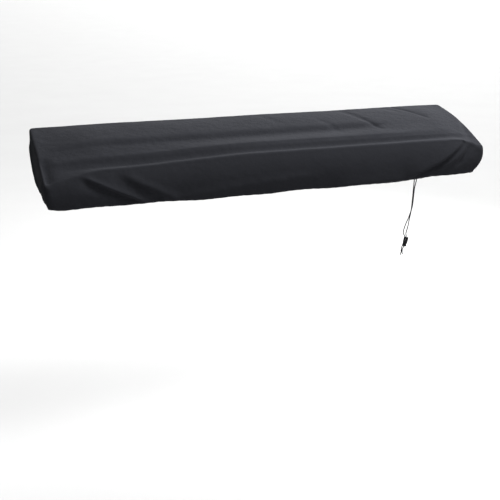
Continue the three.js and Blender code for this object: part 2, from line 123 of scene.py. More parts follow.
def make_piece(name, surface):
    """A smooth mesh object at the origin from points in mm, face arrays and corner UVs."""
    points, faces, uv = surface
    mesh = bpy.data.meshes.new(name)
    lowered = (np.asarray(points) - [0, 0, MOUNT_HEIGHT]) * MM
    mesh.from_pydata(lowered.tolist(), [], [face for array in faces for face in array.tolist()])
    layer = mesh.uv_layers.new(name="flat")
    layer.data.foreach_set("uv", np.asarray(uv, np.float32).ravel())
    mesh.shade_smooth()
    piece = bpy.data.objects.new(name, mesh)
    bpy.context.collection.objects.link(piece)
    triangles = sum(len(face.vertices) - 2 for face in mesh.polygons)
    print(name, len(points), "points,", triangles, "triangles")
    return piece


print("an S-curve half way along is", smooth(0.5))

# %% [markdown]
# The camera stands where the photograph was taken: in front of the left end, a little above the
# cover, turned to the right and tipped down. A camera could be placed by eye, but this place was
# fitted to the cover's outline. The lens follows from its focal length in pixels of the picture.

# %% Place the camera
PICTURE_WIDTH = 500
FOCAL_LENGTH_PIXELS = 800
SENSOR_WIDTH = 36
CAMERA_AT = (-0.7945, -2.2899, 0.4947)
CAMERA_TIPPED_DOWN = 19.73
CAMERA_TURNED_RIGHT = 18.0

camera = bpy.data.objects.new("camera", bpy.data.cameras.new("camera"))
camera.data.sensor_width = SENSOR_WIDTH
camera.data.lens = SENSOR_WIDTH * FOCAL_LENGTH_PIXELS / PICTURE_WIDTH
camera.location = CAMERA_AT
camera.rotation_euler = (radians(90 - CAMERA_TIPPED_DOWN), 0, radians(-CAMERA_TURNED_RIGHT))
bpy.context.collection.objects.link(camera)
bpy.context.scene.camera = camera
print("lens", round(camera.data.lens, 1), "mm")

# %% [markdown]
# The drawcord runs round the hem in a casing, and its two ends leave the hem side by side. They twist
# together, open, pass through the cord lock and end in one knot. A hanging cord could be simulated,
# but it is held in shape by its own set and by the lock, so its route is a short list of places:
# the middle of the pair, how far apart the strands are and which way the pair faces.

# %% List the places along the drawcord
LENGTH = 1370
HEM_WAVE = {"high": 2, "short": 47, "long": 121, "shift": 1}
HEM_SAG = 5
HEM_STEP = {"high": 4, "from": 475, "over": 60}


def hem_level(x):
    """Level of the hem: a product of two sines, plus an S-curve up to the right of the cord, less a
    parabola that sags most in the middle."""
    wave = np.sin(x / HEM_WAVE["short"]) * np.sin(x / HEM_WAVE["long"] + HEM_WAVE["shift"])
    step = smooth((x - HEM_STEP["from"]) / HEM_STEP["over"])
    sag = HEM_SAG * (1 - (2 * x / LENGTH) ** 2)
    return HEM_WAVE["high"] * wave + HEM_STEP["high"] * step - sag


Place = namedtuple("Place", "at apart turn")
CORD_EXIT_X = 460
CORD_EXIT_Y = -119.5
CORD_EXIT = np.array([CORD_EXIT_X, CORD_EXIT_Y, hem_level(CORD_EXIT_X)])
CORD_RADIUS = 1.5
IN_CASING = [Place((0, 0, 4.5), 8, 0)]
TO_LOCK = [
    Place((0, 0, 1.8), 8, 0),
    Place((-0.5, 0, -10), 7.4, 1),
    Place((-2, -0.2, -22), 5.6, 5),
    Place((-3.4, -0.4, -34), 3.8, 10),
    Place((-4.2, -0.6, -52), 3.6, 14),
    Place((-5, -0.8, -72), 3.6, 18),
    Place((-6.2, -1, -92), 3.6, 30),
    Place((-8.4, -1, -108), 3.6, 58),
    Place((-11.6, -1, -122), 3.6, 92),
    Place((-15, -0.8, -135), 4.2, 130),
    Place((-18.2, 0, -147.9), 8, 166),
    Place((-20.6, 2, -162.9), 11, 176),
    Place((-21.4, 5, -174), 10.8, 174),
    Place((-20.2, 9.8, -184.4), 9, 164),
    Place((-16.4, 14.2, -192), 6.8, 152),
    Place((-12.4, 16, -199.2), 5, 146),
    Place((-11.3, 13.9, -205.9), 4.3, 142.8),
    Place((-13.5, 9.5, -209), 3.9, 142.8),
]
LOCK_CROSSING = np.array([-21.5, -1, -207.5])
CORD_THROUGH_LOCK = np.array([-0.6, -0.79, 0.12])
PAIR_IN_LOCK = {"apart": 3.6, "turn": 142.8}
STRAIGHT_IN_LOCK = (-8, -4, 0, 4, 8)
THROUGH_LOCK = [
    Place(LOCK_CROSSING + way * CORD_THROUGH_LOCK, **PAIR_IN_LOCK) for way in STRAIGHT_IN_LOCK
]
TO_KNOT = [
    Place((-29.4, -11.2, -206.1), 3.6, 142.8),
    Place((-33.2, -14, -209.8), 4.2, 146),
    Place((-35.2, -14.2, -216), 5.6, 156),
    Place((-35.6, -11.8, -222.4), 6, 168),
    Place((-35.2, -8.6, -228), 5.2, 176),
    Place((-34.7, -6.4, -231.9), 4.3, 180),
    Place((-34.5, -5.3, -234.5), 3.8, 180),
    Place((-34.7, -4.8, -237), 3.4, 180),
]


def strand_places(side):
    """One strand: half the pair's distance from its middle, along the way that the pair faces."""
    places = IN_CASING + TO_LOCK + THROUGH_LOCK + TO_KNOT
    middle = np.array([place.at for place in places], float)
    turn = np.radians([place.turn for place in places])
    reach = side * np.array([place.apart for place in places]) / 2
    return CORD_EXIT + middle + reach[:, None] * np.stack([np.cos(turn), np.sin(turn), 0 * turn], -1)


print("a strand has", len(strand_places(1)), "places")

# %% [markdown]
# A smooth curve goes through those places. The spacing of its parameter follows the square root of
# the distances, which keeps it from overshooting where places are close. The cord is braided from
# eight bundles. They could be eight winding tubes, but the cord is thin, so one tube does: its radius
# swells and sinks on a lattice of lozenges.

# %% Define the curve and the braided skin
CURVE_SAMPLES = 40
BRAID_BUNDLES = 8
BRAID_PITCH = 1.7
BRAID_RELIEF = 0.06
CORD_SIDES = 32
CORD_STEP = 0.42
CORD_ASIDE = unit([-0.66, 0.75, 0])
TIP_NARROWING = 0.98


def path_lengths(path):
    """Distance of each point of a path from its start."""
    return np.append(0, np.cumsum(np.linalg.norm(np.diff(path, axis=0), axis=1)))


def curve_through(places, step):
    """Even points on a centripetal Catmull-Rom curve: each span is a cubic with the slopes that the
    three nearest chords give, divided by the square roots of their lengths."""
    places = np.asarray(places, float)
    spans = len(places) - 1
    longer = np.vstack([2 * places[0] - places[1], places, 2 * places[-1] - places[-2]])
    before, start, end, after = (longer[first : first + spans] for first in range(4))
    root_before, root, root_after = (
        np.sqrt(np.linalg.norm(there - here, axis=1))[:, None]
        for here, there in ((before, start), (start, end), (end, after))
    )
    chord = (end - start) / root
    leave = root * ((start - before) / root_before - (end - before) / (root_before + root) + chord)
    arrive = root * (chord - (after - start) / (root + root_after) + (after - end) / root_after)
    t = np.linspace(0, 1, CURVE_SAMPLES, endpoint=False)[None, :, None]
    start, end, leave, arrive = (array[:, None] for array in (start, end, leave, arrive))
    fine = mix(start, end, smooth(t)) + t * (1 - t) * ((1 - t) * leave - t * arrive)
    fine = np.vstack([fine.reshape(-1, 3), places[-1:]])
    length = path_lengths(fine)
    even = np.linspace(0, length[-1], int(length[-1] / step) + 1)
    return np.stack([np.interp(even, length, fine[:, axis]) for axis in range(3)], -1)


def braided_tube(path, aside, radius=CORD_RADIUS, tip=0, closed=False):
    """A tube about a path: each ring is a circle square to it, whose radius is the cord's own, times
    1 + relief * (cos(bundles * angle) + cos(2 pi * distance / pitch)). A rounded tip narrows over the
    last stretch as a quarter circle does."""
    along = path_lengths(path)
    if closed:
        tangent = unit(np.roll(path, -1, 0) - np.roll(path, 1, 0))
    else:
        tangent = unit(np.gradient(path, axis=0))
    aside = np.broadcast_to(aside, path.shape)
    normal = unit(aside - (aside * tangent).sum(-1, keepdims=True) * tangent)
    across = np.cross(tangent, normal)
    angle = np.linspace(0, 2 * pi, CORD_SIDES, endpoint=False)[None]
    lattice = np.cos(BRAID_BUNDLES * angle) + np.cos(2 * pi * along[:, None] / BRAID_PITCH)
    swell = radius * (1 + BRAID_RELIEF * lattice)
    if tip:
        into_tip = np.clip((along - along[-1] + tip) / tip, 0, 1)
        swell *= np.sqrt(1 - TIP_NARROWING * into_tip**2)[:, None]
    circle = np.cos(angle)[..., None] * normal[:, None] + np.sin(angle)[..., None] * across[:, None]
    return ring_surface(path[:, None] + swell[..., None] * circle, along, closed)


print("braid of", BRAID_BUNDLES, "bundles, with a lozenge every", BRAID_PITCH, "mm")

# %% [markdown]
# Each strand is one such tube. It rides on the cover, whose hem it hangs from, and takes the place of
# the plain strand of the frame. Its path is kept for use further down.

# %% Make the two strands
strands = {}
for letter, side in (("a", -1), ("b", 1)):
    path = curve_through(strand_places(side), CORD_STEP)
    piece = make_piece(f"drawcord_{letter}", braided_tube(path, CORD_ASIDE))
    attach(piece, "cover")
    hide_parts(f"cord_strand_{letter}")
    strands[letter] = (piece, (path - [0, 0, MOUNT_HEIGHT]) * MM)
    print("strand", letter, "is", round(path_lengths(path)[-1]), "mm long")

# %% [markdown]
# Both strands are tied in one small overhand knot, and their cut ends stick out under it. The knot
# could be a plain ball, but its turns show when it is seen near. So it is a tube along a trefoil, the
# curve that winds three times through a ring while it goes round it twice. The tails are short tubes
# with ends that were melted round.

# %% Make the knot with its tails
KNOT_AT = (-34.8, -4.4, -239.5)
KNOT_ACROSS = 8.2
KNOT_TALL = 8.8
KNOT_CORD_RADIUS = 1.35
KNOT_STEPS = 420
TAILS = {
    "left": [
        (-36, -4.3, -241.8),
        (-36.6, -4.2, -244.3),
        (-37.4, -4, -247.3),
        (-38.6, -3.8, -251.7),
        (-39.1, -3.6, -256.3),
    ],
    "right": [
        (-33.6, -4.3, -241.8),
        (-33, -4.4, -244.3),
        (-32.6, -4.6, -246.3),
        (-31.7, -5, -249.3),
        (-31.4, -5.2, -252.9),
    ],
}


def trefoil():
    """The path ((2 + cos 3t) cos 2t, (2 + cos 3t) sin 2t, sin 3t), sized to the knot, and the way out
    of the ring that it winds round."""
    t = np.linspace(0, 2 * pi, KNOT_STEPS, endpoint=False)
    wide = (KNOT_ACROSS / 2 - KNOT_CORD_RADIUS) / 3
    tall = KNOT_TALL / 2 - KNOT_CORD_RADIUS
    ring = (2 + np.cos(3 * t)) * wide
    path = np.stack([ring * np.cos(2 * t), ring * np.sin(2 * t), tall * np.sin(3 * t)], -1)
    out = np.stack([np.cos(3 * t) * np.cos(2 * t), np.cos(3 * t) * np.sin(2 * t), np.sin(3 * t)], -1)
    return CORD_EXIT + KNOT_AT + path, out


tails = [
    braided_tube(curve_through(CORD_EXIT + np.array(places), CORD_STEP), CORD_ASIDE, tip=CORD_RADIUS)
    for places in TAILS.values()
]
tied = braided_tube(*trefoil(), KNOT_CORD_RADIUS, closed=True)
knot = make_piece("drawcord_knot", join_surfaces(tied, *tails))
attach(knot, "cover")
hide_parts("cord_knot", "cord_tail_a", "cord_tail_b")

# %% [markdown]
# The cord lock is a moulded barrel with a sprung button in it. Both are turned shapes: a half section
# carried round an axis. A slot through both lets the strands pass, and the spring pushes the two slots
# out of line so that they grip. The slots are cut with a Boolean, which is applied at once so that
# the pieces stay plain meshes.

# %% Define the turned pieces of the cord lock
LOCK_AXIS = unit([-0.196, 0, -0.981])
LOCK_ASIDE = unit(CORD_THROUGH_LOCK - CORD_THROUGH_LOCK @ LOCK_AXIS * LOCK_AXIS)
LOCK_FRAME = np.stack([LOCK_ASIDE, np.cross(LOCK_AXIS, LOCK_ASIDE), LOCK_AXIS])
LOCK_SIDES = 72
CORD_AT = 13.3
CORD_ROOM = 0.7
CORD_LOW = CORD_AT - CORD_RADIUS - CORD_ROOM
CORD_HIGH = CORD_AT + CORD_RADIUS + CORD_ROOM
LOCK_ORIGIN = CORD_EXIT + LOCK_CROSSING - CORD_AT * LOCK_AXIS
BARREL_RADIUS = 7.4
SLOT_WIDTH = 8
ROUNDING_POINTS = 9
SHARP_ANGLE = 32
BOX_SIDES = np.array([[0, 1, 3, 2], [4, 6, 7, 5], [0, 4, 5, 1], [2, 3, 7, 6], [0, 2, 6, 4], [1, 5, 7, 3]])


def quarter(r, z, radius, start):
    """A quarter circle of a half section, from an angle in degrees, about the point (r, z)."""
    angle = np.radians(np.linspace(start, start + 90, ROUNDING_POINTS))
    return np.stack([r + radius * np.cos(angle), z + radius * np.sin(angle)], -1).tolist()


def turned(section):
    """A half section of (radius, height) points carried round the lock's axis, with flat ends."""
    section = np.array(section, float)
    angle = np.linspace(0, 2 * pi, LOCK_SIDES, endpoint=False)
    radius, height = section[:, :1], section[:, 1:]
    rings = np.stack([radius * np.cos(angle), radius * np.sin(angle), height + 0 * angle], -1)
    return ring_surface(LOCK_ORIGIN + rings @ LOCK_FRAME, path_lengths(section))


def cut_slot(piece, low, high):
    """Takes the strands' slot, between two heights on the lock's axis, out of a piece for good."""
    half = np.array([2 * BARREL_RADIUS, SLOT_WIDTH / 2, (high - low) / 2])
    signs = np.stack(np.meshgrid([-1, 1], [-1, 1], [-1, 1], indexing="ij"), -1).reshape(-1, 3)
    corners = LOCK_ORIGIN + (signs * half + [0, 0, (low + high) / 2]) @ LOCK_FRAME
    cutter = make_piece("slot_cutter", (corners, [BOX_SIDES], np.zeros((BOX_SIDES.size, 2))))
    cut = piece.modifiers.new("slot", "BOOLEAN")
    cut.object = cutter
    cut.solver = "EXACT"
    graph = bpy.context.evaluated_depsgraph_get()
    mesh = bpy.data.meshes.new_from_object(piece.evaluated_get(graph))
    piece.modifiers.clear()
    piece.data = mesh
    bpy.data.objects.remove(cutter)
    mesh.set_sharp_from_angle(angle=radians(SHARP_ANGLE))
    print(piece.name, "cut:", len(mesh.polygons), "faces")


print("the strands cross the lock from", CORD_LOW, "to", CORD_HIGH, "mm along it")

# %% [markdown]
# The barrel is open at the lower end, with a rounded back, a groove near its lip and a bore. The
# button's stem runs in the bore with a small gap, and its cap has a shallow dish for the thumb. Its
# travel is left free between cap and lip, and each slot is longer by it, so the button can be pressed
# without touching the strands.

# %% Make the barrel and the button
BUTTON_TRAVEL = 4
BARREL_LENGTH = 22
BARREL_ROUNDING = 2.2
BARREL_FLOOR = 1.8
BORE_RADIUS = 5.6
LIP_ROUNDING = 0.7
GROOVE_AT = 18.6
GROOVE_WIDTH = 1.1
GROOVE_DEPTH = 0.4
STEM_RADIUS = 5.2
STEM_BRIDGE = 1.9
GAP = 0.3
CAP_RADIUS = 6.8
CAP_LENGTH = 5.5
CAP_ROUNDING = 2
CAP_CHAMFER = 0.5
CAP_DISH_RADIUS = 3.4
CAP_DISH_SLOPE = 0.5
CAP_DISH_DEPTH = 0.45

groove_bottom = BARREL_RADIUS - GROOVE_DEPTH
barrel_section = (
    quarter(BARREL_RADIUS - BARREL_ROUNDING, BARREL_ROUNDING, BARREL_ROUNDING, -90)
    + [
        (BARREL_RADIUS, GROOVE_AT),
        (groove_bottom, GROOVE_AT + GROOVE_WIDTH / 3),
        (groove_bottom, GROOVE_AT + 2 * GROOVE_WIDTH / 3),
        (BARREL_RADIUS, GROOVE_AT + GROOVE_WIDTH),
    ]
    + quarter(BARREL_RADIUS - LIP_ROUNDING, BARREL_LENGTH - LIP_ROUNDING, LIP_ROUNDING, 0)
    + [(BORE_RADIUS, BARREL_LENGTH), (BORE_RADIUS, BARREL_FLOOR)]
)
barrel = make_piece("cord_lock_barrel", turned(barrel_section))
cut_slot(barrel, CORD_LOW - BUTTON_TRAVEL, CORD_HIGH)

cap_start = BARREL_LENGTH + GAP + BUTTON_TRAVEL
cap_end = cap_start + CAP_LENGTH
button_section = (
    [
        (STEM_RADIUS, CORD_LOW - STEM_BRIDGE),
        (STEM_RADIUS, cap_start),
        (CAP_RADIUS - CAP_CHAMFER, cap_start),
        (CAP_RADIUS, cap_start + CAP_CHAMFER),
    ]
    + quarter(CAP_RADIUS - CAP_ROUNDING, cap_end - CAP_ROUNDING, CAP_ROUNDING, 0)
    + [(CAP_DISH_RADIUS, cap_end), (CAP_DISH_RADIUS - CAP_DISH_SLOPE, cap_end - CAP_DISH_DEPTH)]
)
button = make_piece("cord_lock_button", turned(button_section))
cut_slot(button, CORD_LOW, CORD_HIGH + BUTTON_TRAVEL)

for piece, body in ((barrel, "cover"), (button, "button")):
    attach(piece, body)
    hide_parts(f"lock_{piece.name.split('_')[-1]}")

# %% [markdown]
# The strands are limp cords that hang and end in a knot, as long as the path, because the whole of
# what hangs out of the hem is in view. Here each path is cut to the part that hangs out of the hem.

for letter, (piece, path) in strands.items():
    outside = path[path[:, 2] <= (CORD_EXIT[2] + TO_LOCK[0].at[2] - MOUNT_HEIGHT) * MM]
    [knot, barrel, button] if letter == "a" else []
    print("declared", piece.name, "leaving the hem at", outside[0].round(4))

# %% [markdown]
# The cover could be simulated as cloth over a block, but its folds are known: they were drawn by the
# way this cover was pulled on. So the smooth cloth comes first, as a height over the plan, and each
# fold is then one row of a table. The height across the depth is a curve through measured rows, one
# for each end and one for the middle, which stands fuller.

# %% Shape the top of the cloth
DEPTH = 300
CORNER_RADIUS = 14
RIM_X = LENGTH / 2 - CORNER_RADIUS
RIM_Y = DEPTH / 2 - CORNER_RADIUS
SECTION_DEPTHS = np.array([150, 100, 50, 0, -50, -92, -118, -150], float)
SECTION_HEIGHTS = {
    "left": np.array([177, 163, 148, 132, 114, 96, 84, 71], float),
    "middle": np.array([177, 171, 161, 149, 134, 116, 113, 105], float),
    "right": np.array([177, 165, 153, 139, 123, 107, 97, 83], float),
}
END_RISE = {"left": 190, "right": 110}
FRONT_FALL = {"high": 15, "from": -60, "over": 450, "depth": 80}
FRONT_LEAN = 24
LEAN_RISE = {"left": 170, "right": 70}


def section_height(column, y):
    """Cubic between the table's rows, whose slope at a row is that of the chord between the rows on
    either side of it."""
    heights = SECTION_HEIGHTS[column]
    before = np.maximum(np.arange(len(heights)) - 1, 0)
    after = np.minimum(np.arange(len(heights)) + 1, len(heights) - 1)
    slopes = (heights[after] - heights[before]) / (SECTION_DEPTHS[after] - SECTION_DEPTHS[before])
    row = np.clip(np.searchsorted(-SECTION_DEPTHS, -y), 1, len(heights) - 1) - 1
    span = SECTION_DEPTHS[row + 1] - SECTION_DEPTHS[row]
    t = np.clip((y - SECTION_DEPTHS[row]) / span, 0, 1)
    bend = t * (1 - t) * ((1 - t) * slopes[row] - t * slopes[row + 1]) * span
    return mix(heights[row], heights[row + 1], smooth(t)) + bend


def from_ends(x, left, right):
    """A share that grows as an S-curve over a length in from each end, and is 1 between."""
    return smooth((x + LENGTH / 2) / left) * smooth((LENGTH / 2 - x) / right)


def top_height(x, y):
    """Height of the smooth cloth: the end's section blended into the middle's by the rise. The front of
    the middle falls towards the left as a product of two S-curves."""
    end = np.where(x < 0, section_height("left", y), section_height("right", y))
    leftward = smooth((FRONT_FALL["from"] - x) / FRONT_FALL["over"])
    fall = FRONT_FALL["high"] * leftward * smooth(-y / FRONT_FALL["depth"])
    middle = section_height("middle", y) - fall
    return mix(end, middle, from_ends(x, END_RISE["left"], END_RISE["right"]))


def lean_back(x, y):
    """Depth once the front edge leans back over the middle, in proportion to the way from the back."""
    lean = FRONT_LEAN * from_ends(x, LEAN_RISE["left"], LEAN_RISE["right"])
    return y + lean * (RIM_Y - y) / (2 * RIM_Y)


print("height at the middle", round(float(top_height(np.array(0.0), np.array(0.0))), 1), "mm")

# %% [markdown]
# The sheet is two grids that share an edge: a rectangle for the top, and rings that go from its rim
# over the rounded edge, down the walls, under the hem and round a small roll, the casing that holds
# the cord. A single grid over everything would bunch up at the corners. Here each corner is a fan of
# stations about one point of the rim.

# %% Lay out the grid of the cloth
GATHERED_LENGTH = 320
GATHERED_STEPS = 88
MIDDLE_STEPS = 72
DEPTH_STEPS = 50
CORNER_STEPS = 8


def grid_lines():
    """Closer steps along the two ends, where the folds gather, and even steps across the depth."""
    inner = RIM_X - GATHERED_LENGTH
    left = np.linspace(-RIM_X, -inner, GATHERED_STEPS, endpoint=False)
    middle = np.linspace(-inner, inner, MIDDLE_STEPS + 1)
    return np.concatenate([left, middle, -left[::-1]]), np.linspace(-RIM_Y, RIM_Y, DEPTH_STEPS + 1)


def rim_walk(xs, ys):
    """Anticlockwise from the front left: grid numbers, feet on the rim and the way out. A corner has
    one foot and a fan of ways."""
    columns, rows = np.arange(len(xs)), np.arange(len(ys))
    last_column, last_row = columns[-1], rows[-1]
    sides = [
        (-90, columns, 0 * columns),
        (0, last_column + 0 * rows, rows),
        (90, columns[::-1], last_row + 0 * columns),
        (180, 0 * rows, rows[::-1]),
    ]
    fan = np.arange(1, CORNER_STEPS) * 90 / CORNER_STEPS
    column = np.concatenate([np.append(along, np.repeat(along[-1], len(fan))) for _, along, _ in sides])
    row = np.concatenate([np.append(along, np.repeat(along[-1], len(fan))) for _, _, along in sides])
    angle = np.radians(np.concatenate([np.append(way + 0 * along, way + fan) for way, along, _ in sides]))
    foot = np.stack([xs[column], ys[row]], -1)
    way_out = np.stack([np.cos(angle), np.sin(angle)], -1)
    return row * len(xs) + column, foot, way_out


xs, ys = grid_lines()
rim, feet, ways = rim_walk(xs, ys)
print("grid", len(xs), "by", len(ys), "and", len(rim), "stations round the rim")

# %% [markdown]
# A ring is a rounded rectangle. From the rim down, the rings first turn over the edge, then widen and
# fall as the wall does, and are drawn in at the hem, where the cord pulls. Each ring is worked out
# from a few shares, such as how far in it lies and how hard the cord pulls it, so the whole skirt
# is a few arrays.

# %% Carry the rings from the rim to the hem
EDGE_RADIUS = {"front": 13, "others": 7}
LEAN_FADE = 3
WALL_BULGE = 2.5
HEM_DRAW = {"left": 6, "right": 28, "front": 4, "back": 6}
HEM_RADIUS = 6
HEM_CORNER_RADIUS = 13
CASING_INSET = 26.5
CASING_RADIUS = 3.6
CASING_ANGLES = np.radians(np.linspace(-90, 205, 13))
EDGE_STEPS = 6
WALL_STEPS = 28
HEM_STEPS = 5
UNDER_STEPS = 4


def plan_points(inset, lean, pull, least):
    """Plan of a ring at an inset from the widest outline: each foot moves with its shares of the
    front's lean and the cord's pull, and then out by a corner radius that has a least value."""
    x, y = feet[:, 0], feet[:, 1]
    radius = np.maximum(CORNER_RADIUS - inset, least)
    draw_x = np.where(x < 0, HEM_DRAW["left"], HEM_DRAW["right"])
    draw_y = np.where(y < 0, HEM_DRAW["front"], HEM_DRAW["back"])
    reach_x = LENGTH / 2 - inset - pull * draw_x - radius
    reach_y = DEPTH / 2 - inset - pull * draw_y - radius
    return (
        x * reach_x / RIM_X + ways[:, 0] * radius,
        mix(y, lean_back(x, y), lean) * reach_y / RIM_Y + ways[:, 1] * radius,
    )


def skirt_rows():
    """Rings of points, shape (rings, stations, 3): an arc over the edge, a wall that bulges as half a
    sine, a quarter turn under, a flat strip and the casing's roll. Where the wall leans, the arc ends
    early, at the wall's own tilt."""
    front = np.maximum(0, -ways[:, 1])
    radius = mix(EDGE_RADIUS["others"], EDGE_RADIUS["front"], front)
    level = hem_level(feet[:, 0])
    tall = top_height(*plan_points(radius, 1, 0, 0)) - level - HEM_RADIUS
    leaning = front * from_ends(feet[:, 0], LEAN_RISE["left"], LEAN_RISE["right"])
    tilt = np.arctan2(LEAN_FADE * FRONT_LEAN * leaning, tall)
    turn = np.linspace(0, 1, EDGE_STEPS + 1)[:, None] * (pi / 2 - tilt)
    x, y = plan_points(radius * (1 - np.sin(turn)), 1, 0, 0)
    edge = np.stack([x, y, top_height(x, y) - radius * (1 - np.cos(turn))], -1)

    down = np.linspace(0, 1, WALL_STEPS + 1)[1:, None]
    lean = (1 - down) ** LEAN_FADE
    inset = radius * (1 - np.cos(tilt)) * lean - WALL_BULGE * np.sin(pi * down)
    x, y = plan_points(inset, lean, down**2, HEM_CORNER_RADIUS)
    wall = np.stack([x, y, mix(edge[-1, :, 2], HEM_RADIUS + level, down)], -1)

    turn = np.linspace(0, pi / 2, HEM_STEPS + 1)[1:]
    strip = np.linspace(HEM_RADIUS, CASING_INSET, UNDER_STEPS + 1)[1:-1]
    roll_inset = CASING_INSET + CASING_RADIUS * np.cos(CASING_ANGLES)
    roll_rise = CASING_RADIUS * (1 + np.sin(CASING_ANGLES))
    inset = np.concatenate([HEM_RADIUS * (1 - np.cos(turn)), strip, roll_inset])[:, None]
    rise = np.concatenate([HEM_RADIUS * (1 - np.sin(turn)), 0 * strip, roll_rise])[:, None]
    x, y = plan_points(inset, 0, 1, HEM_CORNER_RADIUS)
    return np.concatenate([edge, wall, np.stack([x, y, rise + level], -1)])


skirt = skirt_rows()
print("skirt of", len(skirt), "rings, lowest at", round(skirt[..., 2].min(), 1), "mm")

# %% [markdown]
# The two grids are joined by numbering their points one after the other. The first ring uses the
# rim's own numbers, so there is no seam to merge. Both ends are then moved a little, as the cover sits
# askew, and each point gets the way that the cloth faces there, for the folds to come.

# %% Join both grids into one smooth sheet
END_TURN = 7.5
END_BOW = 5
END_BOW_MIDDLE = 0.7
END_REACH = 200


def sheet_faces():
    """Quads of the top and of the skirt, and the triangles where a corner's fan starts."""
    number = np.arange(len(xs) * len(ys)).reshape(len(ys), len(xs))
    corners = [number[:-1, :-1], number[:-1, 1:], number[1:, 1:], number[1:, :-1]]
    top = np.stack(corners, -1).reshape(-1, 4)
    rings = np.vstack([rim, number.size + np.arange(skirt[..., 0].size).reshape(skirt.shape[:2])])
    beside = np.roll(rings, -1, axis=1)
    around = np.stack([rings[:-1], rings[1:], beside[1:], beside[:-1]], -1).reshape(-1, 4)
    pinched = around[:, 0] == around[:, 3]
    return np.concatenate([top, around[~pinched]]), around[pinched][:, :3]


def shape_ends(points):
    """Moves both ends along: the left end turns, in proportion to the depth, and the right end bows
    out as a parabola. Each move fades in over a reach from the end as an S-curve."""
    x, y, _ = points.T
    deep = y / (DEPTH / 2)
    left = smooth((END_REACH - LENGTH / 2 - x) / END_REACH)
    right = smooth((END_REACH - LENGTH / 2 + x) / END_REACH)
    moved = points.copy()
    moved[:, 0] += END_BOW * right * (END_BOW_MIDDLE - deep**2) - END_TURN * left * deep
    return moved


def point_normals(points, quads, triangles):
    """Each point's mean of the cross products of its faces' diagonals."""
    four = np.concatenate([quads, triangles[:, [0, 1, 2, 0]]])
    a, b, c, d = (points[four[:, corner]] for corner in range(4))
    facing = np.cross(c - a, d - b)
    total = np.zeros_like(points)
    for corner in range(4):
        np.add.at(total, four[:, corner], facing)
    return unit(total)


grid_x, grid_y = np.meshgrid(xs, ys)
leaned = lean_back(grid_x, grid_y)
top = np.stack([grid_x, leaned, top_height(grid_x, leaned)], -1).reshape(-1, 3)
bare = shape_ends(np.concatenate([top, skirt.reshape(-1, 3)]))
quads, triangles = sheet_faces()
normals = point_normals(bare, quads, triangles)
print("sheet of", len(bare), "points,", len(quads), "quads and", len(triangles), "triangles")

# %% [markdown]
# Each fold is a ridge or a trough along a bowed run. Its height fades at both ends, and across the
# run it falls off as a bell, with one width on the left of the run and another on the right, so that
# a crest can be steep on one side and long on the other, as in real cloth. A low value of crisp makes
# the crest sharper. A fold of the top is placed by length and depth, and a fold of a wall by the place
# along the wall and the height.

# %% List the folds
Fold = namedtuple("Fold", "start end bow high left right crisp", defaults=(2.0,))
TOP_FOLDS = [
    Fold((-690, -14), (500, 0), 0, -8, 18, 34),
    Fold((-740, -60), (660, -67), 0, 6, 22, 6, 1.3),
    Fold((-740, -66), (730, -81), -2, 6, 12, 9, 1.15),
    Fold((-690, -93), (690, -98), 0, -2, 9, 12),
    Fold((298, 148), (392, -44), 3, -4, 9, 7, 1.6),
    Fold((484, 150), (584, 12), 3, -3, 7, 6, 1.6),
    Fold((440, 146), (500, 84), 2, -1.5, 7, 6, 1.6),
    Fold((195, 66), (258, -48), 3, -2.5, 8, 7, 1.6),
    Fold((10, 142), (70, 45), 3, -2, 9, 9),
    Fold((-672, -20), (-664, -240), 0, -7, 16, 28),
]
WALL_FOLDS = {
    "front": [
        Fold((-592, 92), (-390, -1), 0, 9, 7, 6, 1.4),
        Fold((-594, 81), (-412, 0), 0, -8, 7, 16),
        Fold((-470, 84), (-300, -1), 0, 6, 12, 12),
        Fold((-500, 86), (-340, -1), 0, -6, 12, 20),
        Fold((-380, -4), (150, 42), 8, 4, 14, 26),
        Fold((715, 165), (400, 0), 19, -9, 9, 7, 1.6),
        Fold((711, 171), (396, 6), 19, 16, 8, 28, 1.0),
        Fold((150, 4), (480, 8), 0, 7, 26, 6, 1.2),
        Fold((693, 150), (580, 25), 0, -9, 8, 7),
        Fold((682, 150), (505, 20), 14, 8, 7, 16, 1.2),
    ],
    "right": [
        Fold((-120, 82), (-30, 0), -9, 5, 13, 13),
        Fold((132, 158), (40, 6), 10, 5, 15, 15),
    ],
    "left": [
        Fold((-124, 78), (-50, 2), -7, 4, 13, 13),
        Fold((128, 150), (50, 4), 9, 5, 15, 15),
    ],
    "back": [
        Fold((646, 160), (430, 4), 20, 7, 18, 18),
        Fold((640, 124), (490, 0), 14, -5, 15, 15),
        Fold((-650, 160), (-450, 4), -20, 7, 18, 18),
        Fold((-640, 118), (-500, 0), -14, -5, 15, 15),
        Fold((260, 160), (150, 20), 8, 3, 18, 18),
    ],
}
FOLD_FADE = 0.2
# A wall's axes by number: the one that it runs along and the one that it faces, and which way
Wall = namedtuple("Wall", "along facing sign")
WALLS = {"front": Wall(0, 1, -1), "back": Wall(0, 1, 1), "left": Wall(1, 0, -1), "right": Wall(1, 0, 1)}


def fold_lift(fold, u, v):
    """How far a fold lifts each point: its height, times an S-curve from each end, times
    exp(-|distance from the bowed run / width| ^ crisp)."""
    run_u, run_v = fold.end[0] - fold.start[0], fold.end[1] - fold.start[1]
    length = np.hypot(run_u, run_v)
    from_u, from_v = u - fold.start[0], v - fold.start[1]
    t = np.clip((from_u * run_u + from_v * run_v) / length**2, 0, 1)
    away = (from_v * run_u - from_u * run_v) / length - 4 * fold.bow * t * (1 - t)
    width = np.where(away > 0, fold.left, fold.right)
    fade = smooth(t / FOLD_FADE) * smooth((1 - t) / FOLD_FADE)
    return fold.high * fade * np.exp(-np.abs(away / width) ** fold.crisp)


